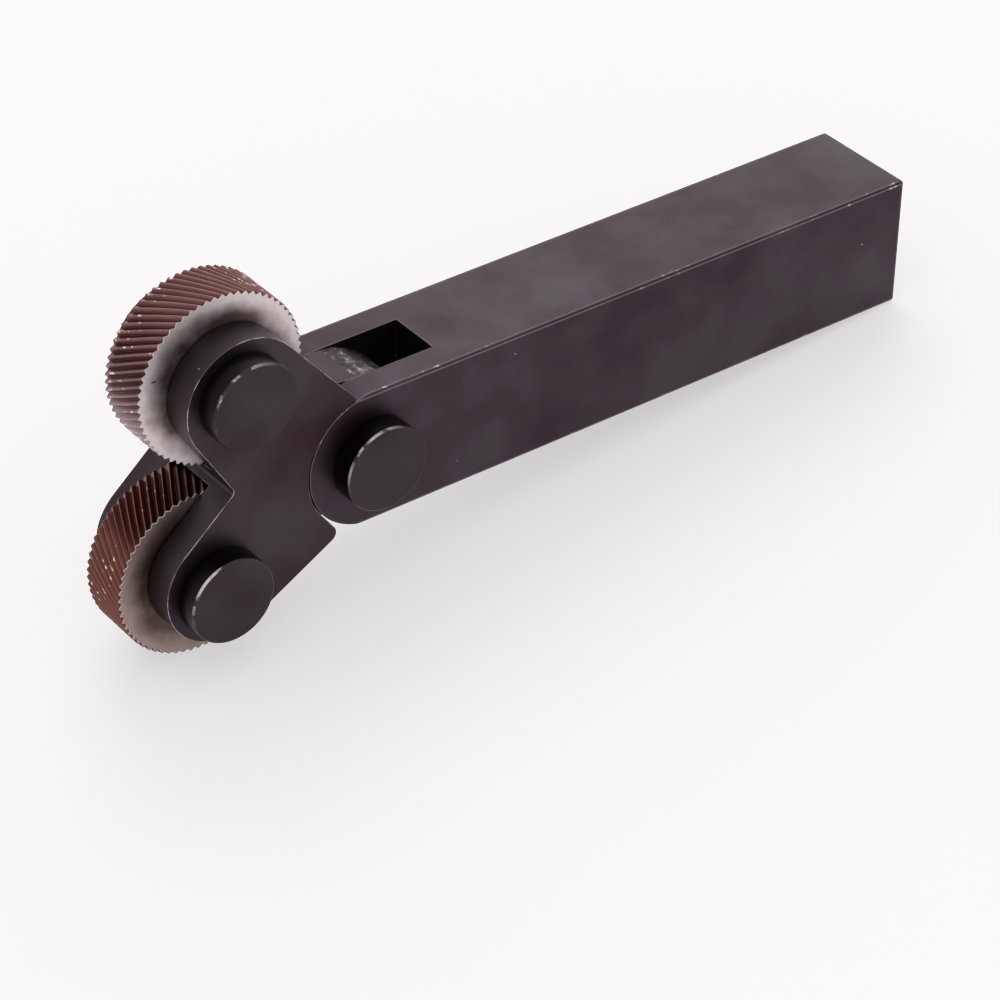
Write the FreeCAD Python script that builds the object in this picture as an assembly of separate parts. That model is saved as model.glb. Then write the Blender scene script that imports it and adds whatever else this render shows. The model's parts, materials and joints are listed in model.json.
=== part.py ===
import FreeCAD, Part
import math
import os

# A lathe knurling tool: a rectangular steel shank whose forked nose carries a swinging head. The
# head carries two knurl wheels with teeth of opposite hand, one above the other.
#
# Frame, in millimetres: the origin is on the shank's bottom face, at the middle of its width and
# half way from the head's pivot to the rear end. +X points to the rear end, so the wheels are at
# -X. The pins' round heads are on the -Y side. +Z is up.
#
# The head and what it carries are drawn level, with the pivot at the drawing's own origin. They
# are then tilted about the pivot and moved to it.

# ---- shank
shank_width = 18.0
shank_height = 21.0
pivot_to_rear = 97.0        # from the pivot's axis to the flat rear end
shank_edge_break = 0.4      # chamfer along the four long edges and round the rear end
fork_slot_width = 8.6
fork_slot_depth = 13.5      # from the pivot's axis back to the slot's end wall

# ---- swinging head
head_tilt = 8.6             # degrees that the wheels are raised as the tool lies on a bench
wheel_reach = 23.6          # from the pivot forward to the wheel axes
wheel_offset = 15.0         # from the head's middle line up or down to each wheel axis
lobe_radius = 9.15          # round end of the head beyond each wheel pin
lobe_setback = 1.0          # from the wheel axis back to the centre of that round end
lobe_slant = 44.0           # degrees above level in which the lobe points
notch_reach = 22.8          # from the pivot to the bottom of the notch between the two lobes
notch_round = 0.8
upper_stop_angle = 28.0     # swing up from level at which the upper flank lies along the shank
upper_flank_length = 1.2    # straight rear flank, from the round recess to the rear corner
upper_corner_round = 0.3
lower_stop_angle = 45.0     # the same three sizes below, where the head can swing further
lower_flank_length = 5.0
lower_corner_round = 1.4
recess_clearance = 0.2      # between the fork's round nose and the recess in the head
tongue_side_clearance = 0.1
tongue_root_overlap = 1.5   # tongue inside the full-width part of the head
tongue_end_clearance = 0.1  # by which the tongue's round end is smaller than the fork's nose
pocket_side_clearance = 0.3
pocket_rim_clearance = 0.8

# ---- knurl wheels
wheel_diameter = 26.0
wheel_width = 8.0
tooth_count = 65
tooth_depth = 0.5
helix_angle = 30.0          # degrees between a tooth and the wheel's axis
helix_steps = 4             # straight runs that stand for the helix across the wheel's width
bore_chamfer = 0.4

# ---- pins and their retaining rings
pin_diameter = 8.0
pin_head_diameter = 13.2
pin_head_height = 3.55
pin_head_chamfer = 0.2
pin_tip_chamfer = 0.4
pin_tip_length = 0.9        # pin beyond its groove
fixed_clearance = 0.03      # radial, where a pin stands still in its hole
running_clearance = 0.05    # radial, where a piece turns on its pin
groove_depth = 0.3
ring_thickness = 0.8
ring_play = 0.1             # beside the ring, towards the part and in its groove
ring_width = 1.5            # radial width of the ring
ring_gap = 2.4              # opening between the ring's two ends
lug_radius = 1.2
lug_hole_radius = 0.5

# ---- sizes that follow
pivot = FreeCAD.Vector(-pivot_to_rear / 2, 0, shank_height / 2)
nose_radius = shank_height / 2
head_width = shank_width    # the head's sides are flush with the shank's
recess_radius = nose_radius + recess_clearance
tongue_radius = nose_radius - tongue_end_clearance
tongue_thickness = fork_slot_width - 2 * tongue_side_clearance
wheel_radius = wheel_diameter / 2
pocket_radius = wheel_radius + pocket_rim_clearance
pocket_width = wheel_width + 2 * pocket_side_clearance
pin_radius = pin_diameter / 2
across = FreeCAD.Vector(0, 1, 0)


def point(forward, up):
    """A point in the head's drawing: forward is towards the wheels, which is -X."""
    return FreeCAD.Vector(-forward, 0, up)


def at_angle(radius, degrees):
    """A point that far from the drawing's origin, at an angle above the forward direction."""
    turn = math.radians(degrees)
    return point(radius * math.cos(turn), radius * math.sin(turn))


def unit(vector):
    return FreeCAD.Vector(vector).normalize()


def same(p):
    return FreeCAD.Vector(p)


def mirrored(p):
    """The same point on the other side of the head's middle line."""
    return FreeCAD.Vector(p.x, p.y, -p.z)


def arc(start, middle, end):
    return Part.Arc(start, middle, end).toShape()


def tangent_point(outside, centre, radius, side):
    """Where a line from the outside point touches a circle. Side is +1 or -1 for which line."""
    to_centre = centre - outside
    turn = side * math.degrees(math.asin(radius / to_centre.Length))
    reach = math.sqrt(to_centre.Length ** 2 - radius ** 2)
    return outside + FreeCAD.Rotation(across, turn).multVec(unit(to_centre)) * reach


def rounded_corner(before, corner, after, radius):
    """Start, middle and end of the arc that rounds a corner between two straight edges."""
    back = unit(before - corner)
    onward = unit(after - corner)
    half_angle = back.getAngle(onward) / 2
    run = radius / math.tan(half_angle)
    centre = corner + unit(back + onward) * (radius / math.sin(half_angle))
    middle = centre + unit(corner - centre) * radius
    return corner + back * run, middle, corner + onward * run


def plate(edges, thickness):
    """A flat plate with this outline in the XZ plane, half its thickness on each side."""
    outline = Part.Wire(Part.__sortEdges__(edges))
    outline.translate(across * (-thickness / 2))
    return Part.Face(outline).extrude(across * thickness)


def cross_cylinder(centre, radius, low, high):
    """A cylinder along Y, from y = low to y = high, about the centre's X and Z."""
    foot = FreeCAD.Vector(centre.x, low, centre.z)
    return Part.makeCylinder(radius, high - low, foot, across)


def through_hole(centre, radius):
    return cross_cylinder(centre, radius, -shank_width - head_width, shank_width + head_width)


# ---- the head's outline, with the lower half's points drawn above the middle line and mirrored
wheel_axis = point(wheel_reach, wheel_offset)
notch = point(notch_reach, 0)
lobe_centre = wheel_axis - at_angle(lobe_setback, lobe_slant)
lobe_tip = lobe_centre + at_angle(lobe_radius, lobe_slant)
notch_tangent = tangent_point(notch, lobe_centre, lobe_radius, -1)
notch_arc = rounded_corner(mirrored(notch_tangent), notch, notch_tangent, notch_round)


def rear_points(side, stop_angle, flank_length, corner_round):
    """The side, its flank's start, the arc of its rear corner, and where its lobe begins."""
    start = at_angle(recess_radius, 90 - stop_angle)
    corner = start + at_angle(flank_length, 180 - stop_angle)
    outer_tangent = tangent_point(corner, lobe_centre, lobe_radius, 1)
    return side, start, rounded_corner(start, corner, outer_tangent, corner_round), outer_tangent


rear_sides = (
    rear_points(same, upper_stop_angle, upper_flank_length, upper_corner_round),
    rear_points(mirrored, lower_stop_angle, lower_flank_length, lower_corner_round),
)


def head_outline():
    edges = [arc(*notch_arc)]
    recess_ends = []
    for side, start, corner_arc, outer_tangent in rear_sides:
        edges += [
            Part.makeLine(side(notch_arc[2]), side(notch_tangent)),
            arc(side(notch_tangent), side(lobe_tip), side(outer_tangent)),
            Part.makeLine(side(outer_tangent), side(corner_arc[2])),
            arc(side(corner_arc[2]), side(corner_arc[1]), side(corner_arc[0])),
            Part.makeLine(side(corner_arc[0]), side(start)),
        ]
        recess_ends.append(side(start))
    edges.append(arc(recess_ends[0], point(recess_radius, 0), recess_ends[1]))
    return edges


def tongue_outline():
    """Round end about the pivot, tangent lines to the rear corners, and a root inside the head."""
    edges = []
    round_ends = []
    roots = []
    for side, start, corner_arc, outer_tangent in rear_sides:
        corner = corner_arc[1]
        tangent = tangent_point(corner, point(0, 0), tongue_radius, -1)
        root = point(recess_radius + tongue_root_overlap, corner.z)
        edges += [Part.makeLine(side(tangent), side(corner)), Part.makeLine(side(corner), side(root))]
        round_ends.append(side(tangent))
        roots.append(side(root))
    edges.append(arc(round_ends[0], point(-tongue_radius, 0), round_ends[1]))
    edges.append(Part.makeLine(*roots))
    return edges


def make_head():
    head = plate(head_outline(), head_width).fuse(plate(tongue_outline(), tongue_thickness))
    for axis in (wheel_axis, mirrored(wheel_axis)):
        head = head.cut(cross_cylinder(axis, pocket_radius, -pocket_width / 2, pocket_width / 2))
        head = head.cut(through_hole(axis, pin_radius + fixed_clearance))
    head = head.cut(through_hole(point(0, 0), pin_radius + running_clearance))
    return head.removeSplitter()


def make_shank():
    """The shank, drawn with its pivot at the origin and its rear end at +X."""
    corner = FreeCAD.Vector(-nose_radius, -shank_width / 2, -nose_radius)
    bar = Part.makeBox(pivot_to_rear + nose_radius, shank_width, shank_height, corner)
    long_edges = [e for e in bar.Edges if abs(e.tangentAt(e.FirstParameter).x) > 0.5]
    rear_edges = [e for e in bar.Edges if e.BoundBox.XMin > pivot_to_rear - shank_edge_break]
    bar = bar.makeChamfer(shank_edge_break, long_edges + rear_edges)
    nose = cross_cylinder(point(0, 0), nose_radius, -shank_width / 2, shank_width / 2)
    behind = Part.makeBox(pivot_to_rear, shank_width, shank_height,
                          FreeCAD.Vector(0, -shank_width / 2, -nose_radius))
    bar = bar.common(nose.fuse(behind))
    slot = Part.makeBox(nose_radius * 2 + fork_slot_depth, fork_slot_width, shank_height * 2,
                        FreeCAD.Vector(-nose_radius * 2, -fork_slot_width / 2, -shank_height))
    bar = bar.cut(slot)
    bar = bar.cut(through_hole(point(0, 0), pin_radius + fixed_clearance))
    return bar.removeSplitter()


def toothed_section(y, turn):
    """The wheel's outline at one station across its width: sharp V teeth, turned by an angle."""
    corners = []
    for tooth in range(tooth_count):
        for step, radius in ((0.0, wheel_radius), (0.5, wheel_radius - tooth_depth)):
            angle = turn + 2 * math.pi * (tooth + step) / tooth_count
            corners.append(FreeCAD.Vector(radius * math.cos(angle), y, radius * math.sin(angle)))
    return Part.makePolygon(corners + corners[:1])


def make_wheel(axis, hand):
    """A knurl wheel on that axis. Hand is +1 or -1 for the way its helical teeth lean."""
    twist = hand * wheel_width * math.tan(math.radians(helix_angle)) / wheel_radius
    sections = []
    for step in range(helix_steps + 1):
        share = step / helix_steps - 0.5
        sections.append(toothed_section(wheel_width * share, twist * share))
    wheel = Part.makeLoft(sections, True, True)
    bore = pin_radius + running_clearance
    wheel = wheel.cut(through_hole(point(0, 0), bore))
    for side in (-1, 1):
        face = FreeCAD.Vector(0, side * wheel_width / 2, 0)
        wheel = wheel.cut(Part.makeCone(bore + bore_chamfer, bore, bore_chamfer, face, across * -side))
    wheel.translate(axis)
    return wheel


def pin_length(body_width):
    """From under the head to the tip: the body, the ring's groove and the tip beyond it."""
    return body_width + ring_thickness + 2 * ring_play + pin_tip_length


def make_pin(axis, body_width):
    """A headed pin, turned from its half section about Y."""
    under = -body_width / 2
    top = under - pin_head_height
    tip = under + pin_length(body_width)
    groove = body_width / 2 + ring_play
    groove_end = groove + ring_thickness + ring_play
    head_radius = pin_head_diameter / 2
    half_section = [
        (0, top), (head_radius - pin_head_chamfer, top), (head_radius, top + pin_head_chamfer),
        (head_radius, under), (pin_radius, under),
        (pin_radius, groove), (pin_radius - groove_depth, groove),
        (pin_radius - groove_depth, groove_end), (pin_radius, groove_end),
        (pin_radius, tip - pin_tip_chamfer), (pin_radius - pin_tip_chamfer, tip), (0, tip),
    ]
    corners = [FreeCAD.Vector(radius, y, 0) for radius, y in half_section]
    profile = Part.Face(Part.makePolygon(corners + corners[:1]))
    pin = profile.revolve(FreeCAD.Vector(0, 0, 0), across, 360)
    pin.translate(axis)
    return pin


def make_ring(axis, body_width):
    """A retaining ring: open towards the rear, with a lug and a plier hole at each end."""
    low = body_width / 2 + ring_play
    high = low + ring_thickness
    inner = pin_radius - groove_depth + fixed_clearance
    middle = inner + ring_width / 2
    lug_turn = math.degrees(math.asin((ring_gap / 2 + lug_radius) / middle))
    ring = cross_cylinder(point(0, 0), inner + ring_width, low, high)
    lugs = [at_angle(middle, 180 + side * lug_turn) for side in (-1, 1)]
    for lug in lugs:
        ring = ring.fuse(cross_cylinder(lug, lug_radius, low, high))
    gap = Part.makeBox(2 * pin_diameter, high - low, ring_gap,
                       FreeCAD.Vector(0, low, -ring_gap / 2))
    ring = ring.cut(gap).cut(cross_cylinder(point(0, 0), inner, low, high))
    for lug in lugs:
        ring = ring.cut(cross_cylinder(lug, lug_hole_radius, low, high))
    ring.translate(axis)
    return ring.removeSplitter()


def on_head(shape):
    """Tilts a piece of the head about the pivot and moves it there."""
    shape.rotate(FreeCAD.Vector(0, 0, 0), across, head_tilt)
    shape.translate(pivot)
    return shape


def on_shank(shape):
    shape.translate(pivot)
    return shape


pieces = {
    "shank": on_shank(make_shank()),
    "pivot_pin": on_shank(make_pin(point(0, 0), shank_width)),
    "pivot_ring": on_shank(make_ring(point(0, 0), shank_width)),
    "head": on_head(make_head()),
}
for name, axis, hand in (("upper", wheel_axis, 1), ("lower", mirrored(wheel_axis), -1)):
    pieces[name + "_wheel"] = on_head(make_wheel(axis, hand))
    pieces[name + "_wheel_pin"] = on_head(make_pin(axis, head_width))
    pieces[name + "_wheel_ring"] = on_head(make_ring(axis, head_width))

os.makedirs("parts", exist_ok=True)
for name, shape in pieces.items():
    shape.exportStep("parts/" + name + ".step")
    box = shape.BoundBox
    print(name, len(shape.Solids), "solid,", round(shape.Volume), "mm3, x", round(box.XMin, 2),
          round(box.XMax, 2), "y", round(box.YMin, 2), round(box.YMax, 2),
          "z", round(box.ZMin, 2), round(box.ZMax, 2), "valid", shape.isValid())
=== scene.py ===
# %% [markdown]
# # A lathe knurling tool
# A knurling tool presses a raised pattern into a turning bar. This one is a black steel shank with
# a forked nose. A head swings on a cross pin in the fork and carries two knurl wheels, one above
# the other, whose teeth lean opposite ways. Together they roll diamonds.
#
# The solids come from a CAD model, which fixes every size and place. This lesson gives them their
# finish: broken edges, turned pins, real teeth, and steel that looks handled.

# %% Load the CAD frame
import json
import math

import bmesh
import bpy
from mathutils import Matrix, Vector


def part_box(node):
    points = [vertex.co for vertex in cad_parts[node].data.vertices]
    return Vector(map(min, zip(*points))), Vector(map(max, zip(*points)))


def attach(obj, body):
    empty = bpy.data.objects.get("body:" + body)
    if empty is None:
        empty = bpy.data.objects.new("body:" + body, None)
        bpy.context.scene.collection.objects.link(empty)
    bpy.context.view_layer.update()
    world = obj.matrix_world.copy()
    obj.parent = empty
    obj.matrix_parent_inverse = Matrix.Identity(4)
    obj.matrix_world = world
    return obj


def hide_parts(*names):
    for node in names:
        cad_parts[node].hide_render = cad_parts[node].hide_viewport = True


MM = 0.001
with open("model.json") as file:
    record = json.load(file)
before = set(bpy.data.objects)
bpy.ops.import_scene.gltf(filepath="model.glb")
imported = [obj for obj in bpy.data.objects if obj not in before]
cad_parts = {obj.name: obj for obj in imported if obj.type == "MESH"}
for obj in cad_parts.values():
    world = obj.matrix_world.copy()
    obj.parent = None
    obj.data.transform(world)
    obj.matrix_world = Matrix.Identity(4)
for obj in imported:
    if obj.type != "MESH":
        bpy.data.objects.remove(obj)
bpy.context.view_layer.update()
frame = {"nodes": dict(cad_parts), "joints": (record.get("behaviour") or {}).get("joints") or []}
print("CAD nodes:", ", ".join(sorted(frame["nodes"])))

# %% [markdown]
# ## The sizes that everything else is worked out from
# The joints of the CAD model say where the pivot and the two wheels turn. The boxes of its nodes
# say how wide and how tall each piece is. Nothing is placed by eye.

# %% Read the axes and sizes from the frame
joint_place = {j["name"]: Vector(j["pos_m"]) for j in frame["joints"]}
pivot = joint_place["head_swing"]
wheel_axes = {"upper": joint_place["upper_wheel_spin"], "lower": joint_place["lower_wheel_spin"]}
shank_low, shank_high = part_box("shank")
wheel_low, wheel_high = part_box("lower_wheel")
wheel_radius = (wheel_high.z - wheel_low.z) / 2
wheel_width = wheel_high.y - wheel_low.y
toward_wheels = (wheel_axes["upper"] + wheel_axes["lower"]) / 2 - pivot
head_tilt = math.atan2(toward_wheels.z, -toward_wheels.x)
print(f"wheels {wheel_radius * 2 / MM:.1f} mm across,"
      f" head raised {math.degrees(head_tilt):.1f} degrees")

# %% [markdown]
# ## Camera
# A long lens from half a metre away keeps the tool's edges nearly parallel, as a catalogue picture
# does. The camera is placed by an azimuth, an elevation and a distance about a point, which is
# easier to think about than three coordinates, and then rolled a little.

# %% Camera
view_centre = Vector((-19.4, 0, -14.1)) * MM
view_azimuth = math.radians(-37.62)      # 0 looks along +Y
view_elevation = math.radians(35.51)
view_distance = 548.7 * MM
view_roll = math.radians(1.03)

toward_camera = Vector((
    math.sin(view_azimuth) * math.cos(view_elevation),
    -math.cos(view_azimuth) * math.cos(view_elevation),
    math.sin(view_elevation),
))
camera = bpy.data.objects.new("camera", bpy.data.cameras.new("camera"))
bpy.context.scene.collection.objects.link(camera)
camera.data.lens = 134.8
camera.data.sensor_width = 36
camera.data.clip_start = 0.01
camera.data.clip_end = 20
facing = (-toward_camera).to_track_quat("-Z", "Y").to_matrix().to_4x4()
camera.matrix_world = (Matrix.Translation(view_centre + toward_camera * view_distance)
                       @ facing @ Matrix.Rotation(view_roll, 4, "Z"))
bpy.context.scene.camera = camera
print("camera stands", round(view_distance / MM), "mm away")

# %% [markdown]
# ## Node helpers
# Colours are written as the sRGB hex values that a paint program shows, and one function turns
# them to the linear values that a shader works in. One function adds any shader node: settings are
# matched to the node's own properties or to its sockets, and links are plugged into sockets.
# A pattern's scale is the number of its cells in a metre, so it comes from a size in millimetres.


# %% Colour, scale and node helpers
def linear(hex_colour):
    channels = [int(hex_colour[start:start + 2], 16) / 255 for start in (1, 3, 5)]
    return [c / 12.92 if c <= 0.04045 else ((c + 0.055) / 1.055) ** 2.4 for c in channels] + [1.0]


def cells_of(size_mm):
    return 1 / (size_mm * MM)


def add_node(tree, kind, settings=None, links=None):
    node = tree.nodes.new("ShaderNode" + kind)
    for key, value in (settings or {}).items():
        if isinstance(key, str) and hasattr(node, key):
            setattr(node, key, value)
        else:
            node.inputs[key].default_value = value
    for key, source in (links or {}).items():
        tree.links.new(source, node.inputs[key])
    return node


print("a 2 mm pattern has", round(cells_of(2)), "cells in a metre")

# %% [markdown]
# ## Floor
# The tool lies on a bench: its rear bottom edge and the lower wheel touch it. The CAD frame has
# the shank level instead, so here the bench slopes a little. The slope is that of the line from the
# rear edge that just touches the wheel's rim.

# %% Floor
EDGE_BREAK = 0.4 * MM
FLOOR_REACH = 1.5

rear_edge = Vector((shank_high.x - EDGE_BREAK, 0, shank_low.z))
from_wheel = rear_edge - wheel_axes["lower"]
bench_slope = (math.atan2(from_wheel.z, from_wheel.x)
               + math.asin(wheel_radius / from_wheel.length))
floor_mesh = bmesh.new()
bmesh.ops.create_grid(floor_mesh, x_segments=1, y_segments=1, size=FLOOR_REACH)
bmesh.ops.transform(floor_mesh, verts=floor_mesh.verts, matrix=(
    Matrix.Translation(rear_edge) @ Matrix.Rotation(-bench_slope, 4, "Y")))
floor = bpy.data.objects.new("floor", bpy.data.meshes.new("floor"))
floor_mesh.to_mesh(floor.data)
floor_mesh.free()
bpy.context.scene.collection.objects.link(floor)
print("bench slopes", round(math.degrees(bench_slope), 2), "degrees")

# %% [markdown]
# The bench is covered with matt white board. The plane is a shadow catcher, which shows only the
# shadow that falls on it, so the background stays clean at any distance. Under a real tent the
# board is lit so evenly that its shadows stay pale. Here the board glows a little for the camera,
# which thins the shadow, and for the steel that mirrors it, so that the steel shows the same pale
# board as the camera does.

# %% White board
floor.is_shadow_catcher = True
floor_paint = bpy.data.materials.new("white_board")
floor_paint.use_nodes = True
tree = floor_paint.node_tree
board = tree.nodes["Principled BSDF"]
board.inputs["Base Color"].default_value = linear("#f2eef0")
board.inputs["Roughness"].default_value = 0.8
board.inputs["Emission Color"].default_value = linear("#fff8fb")
rays = add_node(tree, "LightPath")
seen = add_node(tree, "Math", {"operation": "MAXIMUM"},
                {0: rays.outputs["Is Camera Ray"], 1: rays.outputs["Is Glossy Ray"]})
glow = add_node(tree, "Math", {"operation": "MULTIPLY", 1: 0.58}, {0: seen.outputs[0]})
tree.links.new(glow.outputs[0], board.inputs["Emission Strength"])
floor.data.materials.append(floor_paint)
print("floor covered with", floor_paint.name)

# %% [markdown]
# ## Light
# A white tent lights the tool from everywhere. Black steel shows only what it reflects, so the
# tent matters more than the lamp. Rays that look straight at the tent, from the camera or from the
# steel, see plain white. The light that it sheds on matt surfaces is half as strong.

# %% Tent
world = bpy.data.worlds.new("tent")
bpy.context.scene.world = world
world.use_nodes = True
world.node_tree.nodes.clear()
rays = add_node(world.node_tree, "LightPath")
straight = add_node(world.node_tree, "Math", {"operation": "MAXIMUM"},
                    {0: rays.outputs["Is Camera Ray"], 1: rays.outputs["Is Transmission Ray"]})
seen = add_node(world.node_tree, "Math", {"operation": "MAXIMUM"},
                {0: straight.outputs[0], 1: rays.outputs["Is Glossy Ray"]})
tent = add_node(world.node_tree, "Background", {"Color": linear("#fdf8fb"), "Strength": 0.5})
backdrop = add_node(world.node_tree, "Background", {"Color": linear("#fdfafb"), "Strength": 1.0})
tent_or_backdrop = add_node(world.node_tree, "MixShader", {}, {
    0: seen.outputs[0], 1: tent.outputs[0], 2: backdrop.outputs[0]})
add_node(world.node_tree, "OutputWorld", {}, {"Surface": tent_or_backdrop.outputs[0]})
print("world:", world.name)

# %% [markdown]
# One large soft lamp stands behind and above the tool. It lays a sheen along the top faces and the
# shadow towards the viewer.


# %% Lamp
def soft_lamp(name, direction, distance, size, power):
    lamp = bpy.data.objects.new(name, bpy.data.lights.new(name, "AREA"))
    lamp.data.shape = "DISK"
    lamp.data.size = size
    lamp.data.energy = power
    lamp.data.color = linear("#fffafa")[:3]
    away = Vector(direction).normalized()
    lamp.matrix_world = (Matrix.Translation(away * distance)
                         @ away.to_track_quat("Z", "Y").to_matrix().to_4x4())
    bpy.context.scene.collection.objects.link(lamp)
    return lamp


soft_lamp("back_lamp", (0.45, 0.75, 0.75), distance=0.9, size=0.9, power=1.9)
bpy.context.scene.view_settings.view_transform = "Standard"
print("lamps:", [light.name for light in bpy.data.lights])

# %% [markdown]
# ## Breaking the edges
# No real steel edge is a mathematical corner: it is filed, tumbled or simply worn, and the narrow
# round catches the light. A copy of the CAD mesh is merged, its flat triangles are dissolved into
# whole faces, and every sharp edge is bevelled. The faces that the bevel makes are remembered in an
# attribute, so that the material can wear the finish off along them.

# %% Edge-breaking helper
WEAR_AND_GLINT_EDGE = "edge wear and glint"
SHARP = math.radians(25)


def break_edges(mesh, width, segments=3):
    """Bevels every sharp edge and marks the new faces in the edge-wear attribute."""
    wear_and_glint = mesh.faces.layers.float.get(WEAR_AND_GLINT_EDGE) or mesh.faces.layers.float.new(WEAR_AND_GLINT_EDGE)
    sharp = [e for e in mesh.edges if e.is_manifold and e.calc_face_angle() > SHARP]
    made = bmesh.ops.bevel(mesh, geom=sharp, offset=width, segments=segments, profile=0.5,
                           affect="EDGES", clamp_overlap=True, material=-1)
    for face in made["faces"]:
        face[wear_and_glint] = 1.0
    return len(sharp)


print("edges over", round(math.degrees(SHARP)), "degrees are broken")

# %% [markdown]
# Two more helpers carry a piece from the CAD model to the scene. The first takes a copy of a CAD
# mesh. The second gives a finished mesh its material and its body, and smooths its shading:
# weighted normals keep the flat faces flat and put the bend into the narrow rounds.


# %% From a CAD node to a finished piece
SAME_POINT = 0.001 * MM


def copy_of_node(name):
    """A bmesh of a CAD node, with its doubles merged and its flat triangles dissolved."""
    mesh = bmesh.new()
    mesh.from_mesh(frame["nodes"][name].data)
    bmesh.ops.remove_doubles(mesh, verts=mesh.verts, dist=SAME_POINT)
    bmesh.ops.dissolve_limit(mesh, angle_limit=math.radians(0.5), verts=mesh.verts,
                             edges=mesh.edges)
    return mesh


def finish_piece(name, mesh, material, node, body):
    """Turns a bmesh into a piece that stands for a CAD node and moves with its body."""
    bmesh.ops.recalc_face_normals(mesh, faces=mesh.faces)
    for face in mesh.faces:
        face.smooth = True
    piece = bpy.data.objects.new(name, bpy.data.meshes.new(name))
    mesh.to_mesh(piece.data)
    mesh.free()
    piece.data.materials.append(material)
    bpy.context.scene.collection.objects.link(piece)
    even = piece.modifiers.new("even_normals", "WEIGHTED_NORMAL")
    even.keep_sharp = True
    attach(piece, body)
    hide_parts(node)
    print(name, "has", len(piece.data.polygons), "faces")
    return piece


print("points under", SAME_POINT / MM, "mm apart are merged")

# %% [markdown]
# ## Blackened steel
# The shank is milled from a bar, the head is forged and then milled, and both are blackened in a
# hot oxide bath. The coat is thin and follows the metal, so it looks like a dark, satin metal and
# not like paint: a metallic shader with a very dark colour. The material is built up in layers, as
# the real surface is, and each layer is a short function that returns a colour or a strength.
#
# The first layer is the oxide. It drifts between a violet and a neutral black over a couple of
# centimetres, which keeps the large flat faces alive.


# %% The oxide coat
OXIDE_DRIFT_MM = 14


def oxide_coat(tree, place, dark, light):
    drift = add_node(tree, "TexNoise", {"Scale": cells_of(OXIDE_DRIFT_MM), "Detail": 3.0,
                                        "Roughness": 0.55}, {"Vector": place})
    coat = add_node(tree, "ValToRGB", {}, {"Fac": drift.outputs["Fac"]})
    coat.color_ramp.elements[0].position = 0.35
    coat.color_ramp.elements[0].color = linear(dark)
    coat.color_ramp.elements[1].position = 0.65
    coat.color_ramp.elements[1].color = linear(light)
    return coat.outputs["Color"]


print("the oxide drifts over", OXIDE_DRIFT_MM, "mm")

# %% [markdown]
# The round rim of the head's tongue is not milled smooth. It stays as the saw and the file left it,
# mottled with dark pits and bright scratches. The same pattern colours it and roughens it.


# %% The raw rim
RAW_RIM = "raw rim"


def raw_rim(tree, place, coat):
    """The coat's colour with the raw rim laid over it, and the height of the rim's pits."""
    mottle = add_node(tree, "TexNoise", {"Scale": cells_of(1.8), "Detail": 8.0, "Roughness": 0.8},
                      {"Vector": place})
    pitted = add_node(tree, "ValToRGB", {}, {"Fac": mottle.outputs["Fac"]})
    pitted.color_ramp.elements[0].position = 0.36
    pitted.color_ramp.elements[0].color = linear("#161214")
    pitted.color_ramp.elements[1].position = 0.66
    pitted.color_ramp.elements[1].color = linear("#a89c9f")
    between = pitted.color_ramp.elements.new(0.52)
    between.color = linear("#3c3538")
    raw = add_node(tree, "Attribute", {"attribute_name": RAW_RIM})
    surface = add_node(tree, "Mix", {"data_type": "RGBA"}, {
        0: raw.outputs["Fac"], 6: coat, 7: pitted.outputs["Color"]})
    pit_height = add_node(tree, "Math", {"operation": "MULTIPLY"},
                          {0: mottle.outputs["Fac"], 1: raw.outputs["Fac"]})
    return surface.outputs[2], pit_height.outputs[0]


print("faces marked", RAW_RIM, "are mottled")

# %% [markdown]
# Small knocks leave marks at random. A cell pattern scatters one point to a cell. Only the middle
# of a cell counts as a mark, and only in the few cells whose random colour is above a limit.


# %% Scattered marks
def scattered_marks(tree, place, spacing_mm, size, limit):
    """1 on small marks that are scattered over a surface, and 0 elsewhere."""
    cells = add_node(tree, "TexVoronoi", {"Scale": cells_of(spacing_mm)}, {"Vector": place})
    small = add_node(tree, "Math", {"operation": "LESS_THAN", 1: size},
                     {0: cells.outputs["Distance"]})
    chance = add_node(tree, "SeparateColor", {}, {"Color": cells.outputs["Color"]})
    chosen = add_node(tree, "Math", {"operation": "GREATER_THAN", 1: limit},
                      {0: chance.outputs["Red"]})
    marks = add_node(tree, "Math", {"operation": "MULTIPLY"},
                     {0: small.outputs[0], 1: chosen.outputs[0]})
    return marks.outputs[0]


print("scattered marks are ready for the coat and for the wheels")

# %% [markdown]
# Along the broken edges the coat is thin everywhere, and hands and clamps have rubbed it through to
# pale steel in uneven patches. Away from the edges a few pale specks show where it was knocked off.


# %% Rubbed edges and specks
def bare_or_glinting_steel(tree, place, rub_start, thin):
    """How far the coat is gone: thin along the edges, much more in patches, half in the specks."""
    patches = add_node(tree, "TexNoise", {"Scale": cells_of(3.2), "Detail": 7.0, "Roughness": 0.72},
                       {"Vector": place})
    rubbed = add_node(tree, "MapRange", {"From Min": rub_start, "From Max": rub_start + 0.09,
                                         "To Min": thin, "To Max": 0.9},
                      {"Value": patches.outputs["Fac"]})
    # The edge mark is wear, and on the rims of the pins' heads it is also a painted highlight.
    edge = add_node(tree, "Attribute", {"attribute_name": WEAR_AND_GLINT_EDGE})
    rubbed_or_glinting_edge = add_node(tree, "Math", {"operation": "MULTIPLY"},
                         {0: rubbed.outputs[0], 1: edge.outputs["Fac"]})
    specks = scattered_marks(tree, place, spacing_mm=3.4, size=0.045, limit=0.86)
    knocked = add_node(tree, "Math", {"operation": "MULTIPLY", 1: 0.5}, {0: specks})
    bare = add_node(tree, "Math", {"operation": "MAXIMUM"},
                    {0: rubbed_or_glinting_edge.outputs[0], 1: knocked.outputs[0]})
    return bare.outputs[0]


print("faces marked", WEAR_AND_GLINT_EDGE, "are rubbed")
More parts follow.
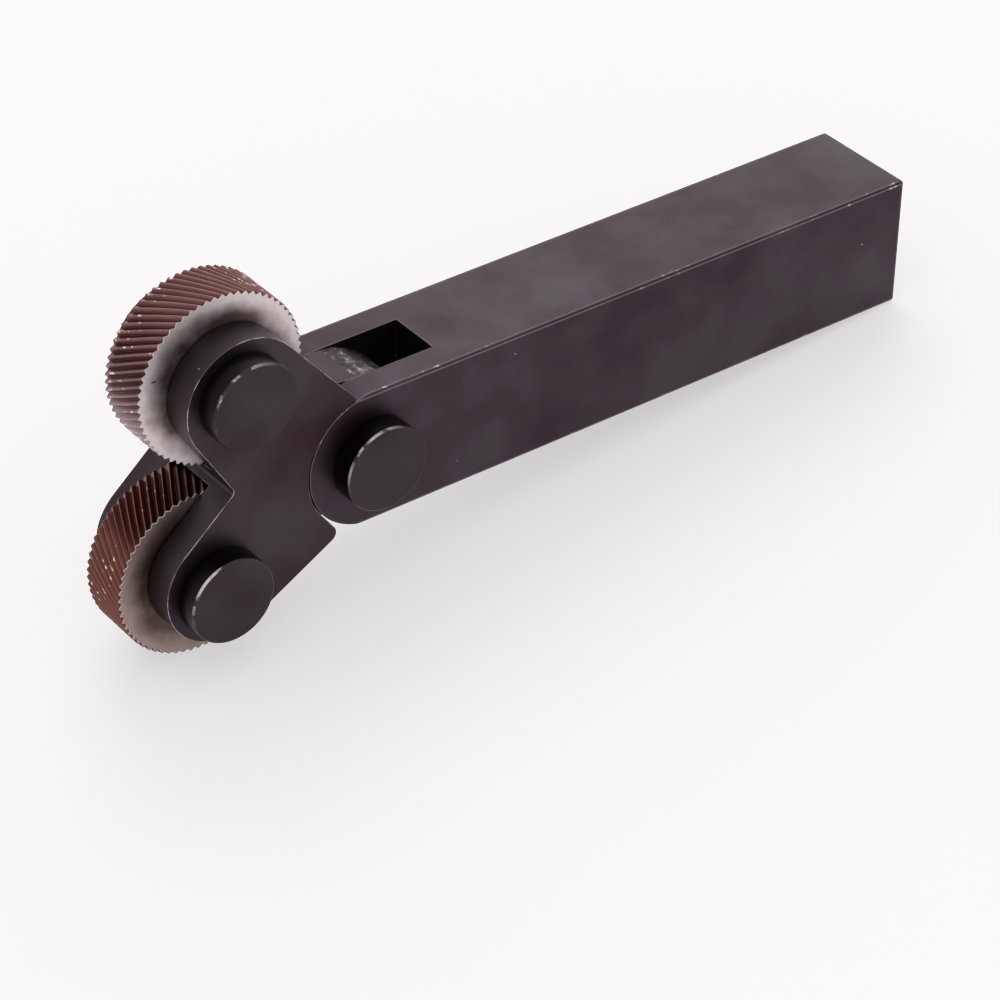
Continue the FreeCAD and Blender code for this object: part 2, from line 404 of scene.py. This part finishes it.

# %% [markdown]
# The layers come together in one material. Last, faces marked as shaded wall are painted nearly
# black: painted shade on the walls of the pins' heads. A fine milled grain moves the roughness and
# the bump. The real grain is finer than a tenth of a millimetre, and it is drawn at 0.35 mm so that
# it shows.


# %% Blackened steel
WALL_SHADE = "painted wall shade"


def blackened_steel(name, dark, light, roughness, rub_start, thin):
    """Dark oxide over steel.

    A higher rub_start leaves fewer bare patches along the edges, and thin is how far the coat is
    gone between them.
    """
    material = bpy.data.materials.new(name)
    material.use_nodes = True
    tree = material.node_tree
    shader = tree.nodes["Principled BSDF"]
    shader.inputs["Metallic"].default_value = 1.0
    place = add_node(tree, "TexCoord").outputs["Object"]

    coat = oxide_coat(tree, place, dark, light)
    surface, pit_height = raw_rim(tree, place, coat)
    wear_and_glint = add_node(tree, "Mix", {"data_type": "RGBA", 7: linear("#cfc7c8")},
                    {0: bare_or_glinting_steel(tree, place, rub_start, thin), 6: surface})
    # Painted shade: faces marked as shaded wall are darkened nearly to black.
    wall_shade_mask = add_node(tree, "Attribute", {"attribute_name": WALL_SHADE})
    colour = add_node(tree, "Mix", {"data_type": "RGBA", 7: linear("#120f11")},
                      {0: wall_shade_mask.outputs["Fac"], 6: wear_and_glint.outputs[2]})
    tree.links.new(colour.outputs[2], shader.inputs["Base Color"])

    grain = add_node(tree, "TexNoise", {"Scale": cells_of(0.35), "Detail": 2.0}, {"Vector": place})
    satin = add_node(tree, "MapRange", {"To Min": roughness - 0.06, "To Max": roughness + 0.06},
                     {"Value": grain.outputs["Fac"]})
    tree.links.new(satin.outputs[0], shader.inputs["Roughness"])
    fine = add_node(tree, "Bump", {"Strength": 0.12, "Distance": 0.03 * MM},
                    {"Height": grain.outputs["Fac"]})
    bump = add_node(tree, "Bump", {"Strength": 0.5, "Distance": 0.2 * MM},
                    {"Height": pit_height, "Normal": fine.outputs[0]})
    tree.links.new(bump.outputs[0], shader.inputs["Normal"])
    return material


shank_steel = blackened_steel("black_oxide_milled_steel", "#392d35", "#454045",
                              roughness=0.42, rub_start=0.58, thin=0.14)
head_steel = blackened_steel("black_oxide_forged_steel", "#372a31", "#433e42",
                             roughness=0.42, rub_start=0.46, thin=0.18)
print("made", shank_steel.name, "and", head_steel.name)

# %% [markdown]
# ## Shank and head
# Both come straight from the CAD solids. Only their edges are worked on, and the round rim of the
# head's tongue is marked as left raw.

# %% Shank and head
TONGUE_HALF_WIDTH = 4.3 * MM     # a little over half of the tongue's thickness


def mark_raw_rim(mesh):
    """Marks the faces of the head's tongue that face away from the pivot, inside the slot."""
    raw = mesh.faces.layers.float.new(RAW_RIM)
    marked = 0
    for face in mesh.faces:
        middle = face.calc_center_median()
        outward = middle - pivot
        outward.y = 0
        inside = abs(middle.y) < TONGUE_HALF_WIDTH and outward.x > 0
        if inside and face.normal.dot(outward.normalized()) > 0.9:
            face[raw] = 1.0
            marked += 1
    return marked


for node, body, width_mm, steel in (("shank", "shank_body", 0.14, shank_steel),
                                    ("head", "head_body", 0.22, head_steel)):
    mesh = copy_of_node(node)
    if node == "head":
        print("raw rim faces:", mark_raw_rim(mesh))
    print(node, "edges broken:", break_edges(mesh, width_mm * MM))
    finish_piece(node + "_dressed", mesh, steel, node, body)

# %% [markdown]
# ## Pins
# Each pin is turned on a lathe from one bar: a plain head, a shaft, and a groove for its retaining
# ring near the tip. Its blackened steel is the shank's, with one thing more: the tool that cut it
# left rings about the pin's axis, and they show as a faint bump. They are drawn nearly 3 mm wide,
# since the real ones are far too fine to see.

# %% Turned steel
WAVE_RINGS = 20 / math.tau      # the rings that the wave pattern draws in one unit at scale 1
TURNING_RING_MM = 2.83


def turned_steel(name, axis):
    """Blackened steel with turning rings about an axis."""
    material = blackened_steel(name, "#342d32", "#3f3a3e", roughness=0.40, rub_start=0.44,
                               thin=0.0)
    tree = material.node_tree
    place = add_node(tree, "TexCoord").outputs["Object"]
    centred = add_node(tree, "Mapping", {"Location": -axis}, {"Vector": place})
    rings = add_node(tree, "TexWave", {
        "wave_type": "RINGS", "rings_direction": "Y", "Distortion": 0.4,
        "Scale": cells_of(TURNING_RING_MM) / WAVE_RINGS}, {"Vector": centred.outputs[0]})
    normal = tree.nodes["Principled BSDF"].inputs["Normal"]
    ring_bump = add_node(tree, "Bump", {"Strength": 0.10, "Distance": 0.02 * MM},
                         {"Height": rings.outputs["Fac"], "Normal": normal.links[0].from_socket})
    tree.links.new(ring_bump.outputs[0], normal)
    return material


print("turning rings", TURNING_RING_MM, "mm wide")

# %% [markdown]
# A turned piece is its half outline spun about its axis. The outline starts at the middle of the
# head's face and goes round to the middle of the tip. The head seats on the side of the shank or of
# the head plate, which are equally wide.

# %% Spin a pin
PIN_SHAFT_RADIUS = 4.0 * MM
PIN_HEAD_CHAMFER = 0.2 * MM
PIN_TIP_CHAMFER = 0.4 * MM
PIN_TIP_LENGTH = 0.9 * MM
RING_GROOVE_WIDTH = 1.0 * MM
RING_GROOVE_DEPTH = 0.3 * MM
pin_seat = shank_low.y


def spin_pin(head_radius, face, tip):
    """A bmesh of a pin about the Y axis, with its head's face and its tip at these places."""
    shaft, neck = PIN_SHAFT_RADIUS, PIN_SHAFT_RADIUS - RING_GROOVE_DEPTH
    groove_end = tip - PIN_TIP_LENGTH
    groove_start = groove_end - RING_GROOVE_WIDTH
    half_outline = [
        (0, face), (head_radius - PIN_HEAD_CHAMFER, face), (head_radius, face + PIN_HEAD_CHAMFER),
        (head_radius, pin_seat), (shaft, pin_seat),
        (shaft, groove_start), (neck, groove_start), (neck, groove_end), (shaft, groove_end),
        (shaft, tip - PIN_TIP_CHAMFER), (shaft - PIN_TIP_CHAMFER, tip), (0, tip),
    ]
    mesh = bmesh.new()
    corners = [mesh.verts.new((radius, y, 0)) for radius, y in half_outline]
    outline = [mesh.edges.new(pair) for pair in zip(corners, corners[1:])]
    bmesh.ops.spin(mesh, geom=corners + outline, cent=(0, 0, 0), axis=(0, 1, 0),
                   angle=math.tau, steps=96, use_merge=True)
    bmesh.ops.remove_doubles(mesh, verts=mesh.verts, dist=SAME_POINT)
    bmesh.ops.recalc_face_normals(mesh, faces=mesh.faces)
    return mesh


print("pins are", PIN_SHAFT_RADIUS * 2 / MM, "mm thick in the shaft")

# %% [markdown]
# The rim of a pin's head is painted pale on the side that lies uppermost: rubbed steel, and a
# painted highlight where the rim catches the light. The wall below the rim is painted nearly black
# as shade.

# %% Make the pins
RUBBED_AND_LIT_SIDE = Vector((-0.6, 0, 0.8))


def paint_head_wear_highlight_and_shade(mesh, head_radius, rim_y):
    """Paints the rim's upper side pale, as wear and highlight, and the wall below dark as shade."""
    wear_and_glint = mesh.faces.layers.float.get(WEAR_AND_GLINT_EDGE)
    wall_shade = mesh.faces.layers.float.new(WALL_SHADE)
    for face in mesh.faces:
        middle = face.calc_center_median()
        outward = Vector((middle.x, 0, middle.z))
        if outward.length < 0.9 * head_radius:
            continue
        # The rim's upper side is painted pale as rubbed steel and a highlight, and the wall below
        # it dark as shade.
        if middle.y < rim_y + 0.1 * MM:
            face[wear_and_glint] = max(0.0, outward.normalized().dot(RUBBED_AND_LIT_SIDE)) ** 3
        elif middle.y < pin_seat:
            face[wear_and_glint] = 0.0
            face[wall_shade] = 0.75


def make_pin(name, axis, body):
    low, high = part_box(name)
    head_radius = (high.x - low.x) / 2
    mesh = spin_pin(head_radius, low.y, high.y)
    break_edges(mesh, 0.08 * MM, segments=2)
    paint_head_wear_highlight_and_shade(mesh, head_radius, low.y + PIN_HEAD_CHAMFER)
    bmesh.ops.translate(mesh, verts=mesh.verts, vec=axis)
    return finish_piece(name + "_turned", mesh, turned_steel(name + "_finish", axis), name, body)


make_pin("pivot_pin", pivot, "shank_body")
for which, axis in wheel_axes.items():
    make_pin(which + "_wheel_pin", axis, "head_body")

# %% [markdown]
# ## Retaining rings
# Spring-steel rings are stamped from strip, so their edges are only slightly rounded. They keep
# the CAD shape.

# %% Retaining rings
ring_steel = blackened_steel("phosphated_spring_steel", "#3b3a3a", "#484645",
                             roughness=0.5, rub_start=0.55, thin=0.05)
for ring, body in (("pivot_ring", "shank_body"), ("upper_wheel_ring", "head_body"),
                   ("lower_wheel_ring", "head_body")):
    mesh = copy_of_node(ring)
    break_edges(mesh, 0.06 * MM, segments=2)
    finish_piece(ring + "_stamped", mesh, ring_steel, ring, body)

# %% [markdown]
# ## Knurl steel
# The wheels are hardened tool steel. Their teeth were cut before hardening and have gone brown with
# heat and oil. They are painted darkest in the gullets, as shade, and paler on the crests, which
# are rubbed. A vertex attribute gives each point's height on its tooth, and uneven stains shift it.
# In some regions near-white spots are painted on the crests as glints, a painted highlight.


# %% Tooth colours
HEIGHT = "tooth height"


def tooth_colour(tree, place, gullet, flank, crest):
    height = add_node(tree, "Attribute", {"attribute_name": HEIGHT})
    stains = add_node(tree, "TexNoise", {"Scale": cells_of(3.5), "Detail": 4.0}, {"Vector": place})
    stain_shift = add_node(tree, "MapRange", {"To Min": -0.25, "To Max": 0.25},
                           {"Value": stains.outputs["Fac"]})
    shifted = add_node(tree, "Math", {"operation": "ADD"},
                       {0: height.outputs["Fac"], 1: stain_shift.outputs[0]})
    # Painted shade: the colour darkens towards the gullets. The paler crests are rubbed.
    brown_and_shade = add_node(tree, "ValToRGB", {}, {"Fac": shifted.outputs[0]})
    brown_and_shade.color_ramp.elements[0].position = 0.0
    brown_and_shade.color_ramp.elements[0].color = linear(gullet)
    brown_and_shade.color_ramp.elements[1].position = 1.0
    brown_and_shade.color_ramp.elements[1].color = linear(crest)
    middle = brown_and_shade.color_ramp.elements.new(0.55)
    middle.color = linear(flank)

    # Painted highlight: near-white spots on the crests stand in for glints.
    sparkle = add_node(tree, "TexNoise", {"Scale": cells_of(1.1), "Detail": 3.0},
                       {"Vector": place})
    glint = add_node(tree, "MapRange", {"From Min": 0.58, "From Max": 0.66},
                     {"Value": sparkle.outputs["Fac"]})
    regions = add_node(tree, "TexNoise", {"Scale": cells_of(6.5), "Detail": 1.0},
                       {"Vector": place})
    bright_region = add_node(tree, "MapRange", {"From Min": 0.50, "From Max": 0.60},
                             {"Value": regions.outputs["Fac"]})
    crest_only = add_node(tree, "MapRange", {"From Min": 0.75, "From Max": 0.95},
                          {"Value": height.outputs["Fac"]})
    crest_glint = add_node(tree, "Math", {"operation": "MULTIPLY"},
                           {0: glint.outputs[0], 1: crest_only.outputs[0]})
    painted_glint = add_node(tree, "Math", {"operation": "MULTIPLY"},
                        {0: crest_glint.outputs[0], 1: bright_region.outputs[0]})
    teeth = add_node(tree, "Mix", {"data_type": "RGBA", 7: linear("#f0e4e2")},
                     {0: painted_glint.outputs[0], 6: brown_and_shade.outputs["Color"]})
    return teeth.outputs[2]


print("teeth are coloured by", HEIGHT)

# %% [markdown]
# The flat sides are ground after hardening and left bright. Near the rim they are pale steel.
# Towards the hub, where the head's cheeks stand close, they are painted darker brown as shade. A
# few short dark nicks lie across them: the scattered marks again, on a pattern that is drawn out
# along one direction.


# %% Ground side colours
SHADED_RADIUS = 9.2 * MM
UNSHADED_RADIUS = 12.9 * MM


def ground_side_colour(tree, place, centred, shaded_hub_side, rim_side):
    # Painted shade: the sides darken towards the hub, where the head's cheeks stand close.
    flat = add_node(tree, "VectorMath", {"operation": "MULTIPLY", 1: (1, 0, 1)}, {0: centred})
    radius = add_node(tree, "VectorMath", {"operation": "LENGTH"}, {0: flat.outputs[0]})
    outwards = add_node(tree, "MapRange", {"From Min": SHADED_RADIUS, "From Max": UNSHADED_RADIUS},
                        {"Value": radius.outputs["Value"]})
    clouds = add_node(tree, "TexNoise", {"Scale": cells_of(4.0), "Detail": 5.0}, {"Vector": place})
    cloud_shift = add_node(tree, "MapRange", {"To Min": -0.6, "To Max": 0.6},
                           {"Value": clouds.outputs["Fac"]})
    hub_shade = add_node(tree, "Math", {"operation": "ADD"},
                     {0: outwards.outputs[0], 1: cloud_shift.outputs[0]})
    ground = add_node(tree, "ValToRGB", {}, {"Fac": hub_shade.outputs[0]})
    ground.color_ramp.elements[0].position = 0.0
    ground.color_ramp.elements[0].color = linear(shaded_hub_side)
    ground.color_ramp.elements[1].position = 0.75
    ground.color_ramp.elements[1].color = linear(rim_side)

    drawn_out = add_node(tree, "Mapping", {"Rotation": (0, 0.5, 0), "Scale": (0.3, 1, 1)},
                         {"Vector": place})
    nicks = scattered_marks(tree, drawn_out.outputs[0], spacing_mm=1.1, size=0.15, limit=0.86)
    nicked = add_node(tree, "Mix", {"data_type": "RGBA", 7: linear("#3a2f31")},
                      {0: nicks, 6: ground.outputs["Color"]})
    return nicked.outputs[2]


print("sides are painted darker out to", round(UNSHADED_RADIUS / MM, 1), "mm from the axis")

# %% [markdown]
# One material holds both. A face attribute says which faces are ground sides. Those are a little
# rougher than the teeth and carry rings from the grinding, drawn about 3 mm wide so that they show.
# The tiny rounds between the two are painted nearly white: rubbed bare steel, and a painted
# highlight for the glints that they catch.

# %% Knurl steel
GROUND = "ground side"
GRINDING_RING_MM = 3.14


def knurl_steel(name, axis, gullet, flank, crest, shaded_hub_side, rim_side):
    material = bpy.data.materials.new(name)
    material.use_nodes = True
    tree = material.node_tree
    shader = tree.nodes["Principled BSDF"]
    shader.inputs["Metallic"].default_value = 1.0
    place = add_node(tree, "TexCoord").outputs["Object"]
    centred = add_node(tree, "Mapping", {"Location": -axis}, {"Vector": place}).outputs[0]

    side = add_node(tree, "Attribute", {"attribute_name": GROUND}).outputs["Fac"]
    colour = add_node(tree, "Mix", {"data_type": "RGBA"}, {
        0: side, 6: tooth_colour(tree, place, gullet, flank, crest),
        7: ground_side_colour(tree, place, centred, shaded_hub_side, rim_side)})
    # The rounds at the teeth's ends are painted nearly white: rubbed steel, and a painted
    # highlight.
    edge = add_node(tree, "Attribute", {"attribute_name": WEAR_AND_GLINT_EDGE})
    edge_share = add_node(tree, "Math", {"operation": "MULTIPLY", 1: 0.8},
                          {0: edge.outputs["Fac"]})
    rubbed = add_node(tree, "Mix", {"data_type": "RGBA", 7: linear("#d8d0ce")}, {
        0: edge_share.outputs[0], 6: colour.outputs[2]})
    tree.links.new(rubbed.outputs[2], shader.inputs["Base Color"])

    rings = add_node(tree, "TexWave", {
        "wave_type": "RINGS", "rings_direction": "Y", "Distortion": 2.0,
        "Scale": cells_of(GRINDING_RING_MM) / WAVE_RINGS}, {"Vector": centred})
    ring_height = add_node(tree, "Math", {"operation": "MULTIPLY"},
                           {0: rings.outputs["Fac"], 1: side})
    bump = add_node(tree, "Bump", {"Strength": 0.1, "Distance": 0.02 * MM},
                    {"Height": ring_height.outputs[0]})
    tree.links.new(bump.outputs[0], shader.inputs["Normal"])
    polish = add_node(tree, "MapRange", {"To Min": 0.30, "To Max": 0.45}, {"Value": side})
    tree.links.new(polish.outputs[0], shader.inputs["Roughness"])
    return material


print("grinding rings", GRINDING_RING_MM, "mm wide")

# %% [markdown]
# ## Knurl wheels
# A knurl wheel's teeth are a helix: each runs across the rim at thirty degrees. One gullet between
# two half teeth is drawn as five points, and its bottom is rounded. That is the only part of the
# wheel that is drawn. Operators make the rest of it.

# %% One gullet
TOOTH_COUNT = 65
TOOTH_DEPTH = 0.5 * MM
HELIX_ANGLE = math.radians(30)
CREST_HALF_WIDTH = 0.09 * MM
CREST_DROP = 0.02 * MM
GULLET_ROUND = 0.12 * MM


def tooth_gap(mesh):
    """The outline from one crest down to the gullet and up to the next crest, on the near side."""
    half_pitch = math.pi / TOOTH_COUNT
    crest_turn = CREST_HALF_WIDTH / wheel_radius
    stations = [(-half_pitch, wheel_radius), (-half_pitch + crest_turn, wheel_radius - CREST_DROP),
                (0, wheel_radius - TOOTH_DEPTH),
                (half_pitch - crest_turn, wheel_radius - CREST_DROP), (half_pitch, wheel_radius)]
    points = [mesh.verts.new((r * math.cos(turn), -wheel_width / 2, r * math.sin(turn)))
              for turn, r in stations]
    for pair in zip(points, points[1:]):
        mesh.edges.new(pair)
    bmesh.ops.bevel(mesh, geom=[points[2]], offset=GULLET_ROUND, segments=2, profile=0.5,
                    affect="VERTICES", material=-1)


print("teeth stand", round(math.tau * wheel_radius / TOOTH_COUNT / MM, 2), "mm apart")

# %% [markdown]
# A spin that also steps along the axis sweeps the gullet into a twisted strip, as the cutter does.
# Sixty-four more copies of the strip close the rim. Each side is then bridged from the teeth to a
# circle at the bore's mouth, and the mouth is drawn inwards for its chamfer.

# %% Rim and sides
HELIX_STEPS = 10
BORE_RADIUS = 4.05 * MM
BORE_CHAMFER = 0.4 * MM


def sweep_rim(mesh, twist):
    """Sweeps the gullet across the wheel and copies it all the way round."""
    bmesh.ops.spin(mesh, geom=mesh.verts[:] + mesh.edges[:], cent=(0, 0, 0), axis=(0, 1, 0),
                   angle=twist, steps=HELIX_STEPS, dvec=(0, wheel_width / HELIX_STEPS, 0))
    bmesh.ops.spin(mesh, geom=mesh.verts[:] + mesh.edges[:] + mesh.faces[:], cent=(0, 0, 0),
                   axis=(0, 1, 0), angle=math.tau * (TOOTH_COUNT - 1) / TOOTH_COUNT,
                   steps=TOOTH_COUNT - 1, use_duplicate=True)
    bmesh.ops.remove_doubles(mesh, verts=mesh.verts, dist=2 * SAME_POINT)


def wheel_side(mesh, y, inward):
    """Closes one side from the teeth to the chamfered bore. Returns its faces and the bore."""
    rim = [e for e in mesh.edges if e.is_boundary and all(abs(v.co.y - y) < 0.01 * MM
                                                          for v in e.verts)]
    flat = Matrix.Translation((0, y, 0)) @ Matrix.Rotation(math.pi / 2, 4, "X")
    circle = bmesh.ops.create_circle(mesh, segments=len(rim), matrix=flat,
                                     radius=BORE_RADIUS + BORE_CHAMFER)["verts"]
    mouth = list({e for v in circle for e in v.link_edges})
    side = bmesh.ops.bridge_loops(mesh, edges=rim + mouth)["faces"]
    made = bmesh.ops.extrude_edge_only(mesh, edges=mouth)["geom"]
    inner = [g for g in made if isinstance(g, bmesh.types.BMVert)]
    shrink = BORE_RADIUS / (BORE_RADIUS + BORE_CHAMFER)
    bmesh.ops.scale(mesh, verts=inner, vec=(shrink, 1, shrink))
    bmesh.ops.translate(mesh, verts=inner, vec=(0, inward * BORE_CHAMFER, 0))
    bore = [g for g in made if isinstance(g, bmesh.types.BMEdge)]
    return side, bore


print("bore", round(BORE_RADIUS * 2 / MM, 1), "mm across")

# %% [markdown]
# The ends of the teeth are rounded off where they meet the sides, and those narrow faces are marked
# for the pale of rubbed steel and a painted highlight. The height of every point on its tooth is
# stored for the material.

# %% Make the wheels
RIM_ROUND = 0.05 * MM


def round_the_rim(mesh, ground, wear_and_glint):
    """Bevels the edge between the teeth and the ground sides, and marks the new faces."""
    rim_edges = [e for e in mesh.edges if len({f[ground] for f in e.link_faces}) == 2
                 and (e.verts[0].co * Vector((1, 0, 1))).length > wheel_radius - 2 * TOOTH_DEPTH]
    made = bmesh.ops.bevel(mesh, geom=rim_edges, offset=RIM_ROUND, segments=1, profile=0.5,
                           affect="EDGES", clamp_overlap=True, material=-1)
    for face in made["faces"]:
        face[wear_and_glint] = 1.0


def make_knurl_wheel(which, axis, hand, colours):
    """One wheel. A hand of 1 or -1 gives the way that its teeth lean."""
    mesh = bmesh.new()
    ground = mesh.faces.layers.float.new(GROUND)
    wear_and_glint = mesh.faces.layers.float.new(WEAR_AND_GLINT_EDGE)
    height = mesh.verts.layers.float.new(HEIGHT)
    twist = -hand * wheel_width * math.tan(HELIX_ANGLE) / wheel_radius
    tooth_gap(mesh)
    sweep_rim(mesh, twist)
    near_side, near_bore = wheel_side(mesh, -wheel_width / 2, 1)
    far_side, far_bore = wheel_side(mesh, wheel_width / 2, -1)
    bmesh.ops.bridge_loops(mesh, edges=near_bore + far_bore)
    bmesh.ops.recalc_face_normals(mesh, faces=mesh.faces)
    for face in near_side + far_side:
        face[ground] = 1.0
    round_the_rim(mesh, ground, wear_and_glint)
    for vert in mesh.verts:
        radius = math.hypot(vert.co.x, vert.co.z)
        vert[height] = (radius - (wheel_radius - TOOTH_DEPTH)) / TOOTH_DEPTH
    for edge in mesh.edges:
        edge.smooth = edge.calc_face_angle(0) < SHARP
    # The teeth are turned to lie evenly about the line from the pivot, as in the CAD model.
    phase = Matrix.Rotation(head_tilt - twist / 2 + math.pi / TOOTH_COUNT, 4, "Y")
    bmesh.ops.transform(mesh, verts=mesh.verts, matrix=Matrix.Translation(axis) @ phase)
    node = which + "_wheel"
    return finish_piece(node + "_knurl", mesh, knurl_steel(node + "_finish", axis, **colours),
                        node, which + "_wheel_body")


make_knurl_wheel("upper", wheel_axes["upper"], 1, {
    "gullet": "#4c302e", "flank": "#644341", "crest": "#80615f",
    "shaded_hub_side": "#6a5d59", "rim_side": "#d8d0cf"})
# The lower wheel's sides are painted darker than the upper wheel's: painted shade, since that wheel
# lies in the head's shadow. Its teeth are darker too.
make_knurl_wheel("lower", wheel_axes["lower"], -1, {
    "gullet": "#502c26", "flank": "#633b34", "crest": "#754d46",
    "shaded_hub_side": "#54453f", "rim_side": "#9a8a84"})
